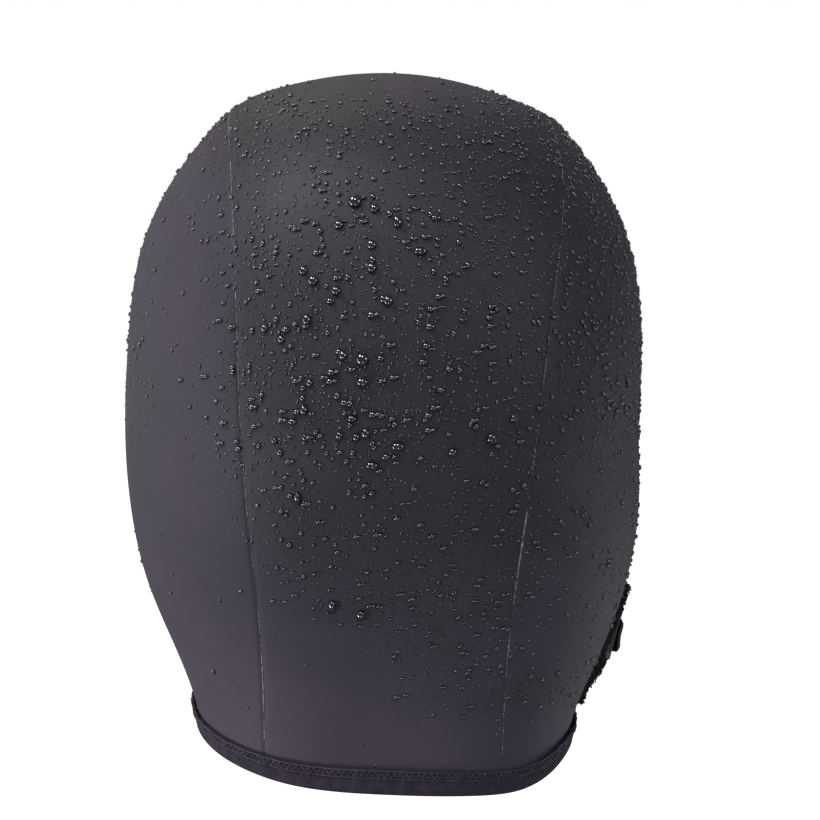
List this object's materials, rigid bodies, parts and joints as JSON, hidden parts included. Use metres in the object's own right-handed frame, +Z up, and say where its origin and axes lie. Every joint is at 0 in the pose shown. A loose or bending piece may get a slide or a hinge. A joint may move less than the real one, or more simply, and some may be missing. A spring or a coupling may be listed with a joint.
{
  "type": "surf hood",
  "caption": "Close-fitting three-panel neoprene hood with a bound neck and face edge and a chin strap that closes on the right jaw.",
  "frame": {"origin": "inside of the crown, where the hood sits on a head", "axes": "+Z up, +Y the way the face looks out, +X to the wearer's right"},
  "size_m": [0.1704, 0.1977, 0.2382],
  "materials": {
    "neoprene": "matte smooth-skin neoprene, charcoal, wet",
    "strap_neoprene": "matte neoprene strap with cut edges",
    "binding": "black jersey binding, cover stitched",
    "pile": "black brushed loop pile",
    "hooks": "black moulded hook tape",
    "tape": "black woven tape"
  },
  "bodies": {
    "root": {"centre_panel": "neoprene", "side_panel_left": "neoprene", "side_panel_right": "neoprene", "neck_binding": "binding", "face_binding": "binding", "chin_strap": "strap_neoprene", "loop_patch": "pile", "hook_patch": "hooks", "pull_tab": "tape"}
  },
  "joints": []
}
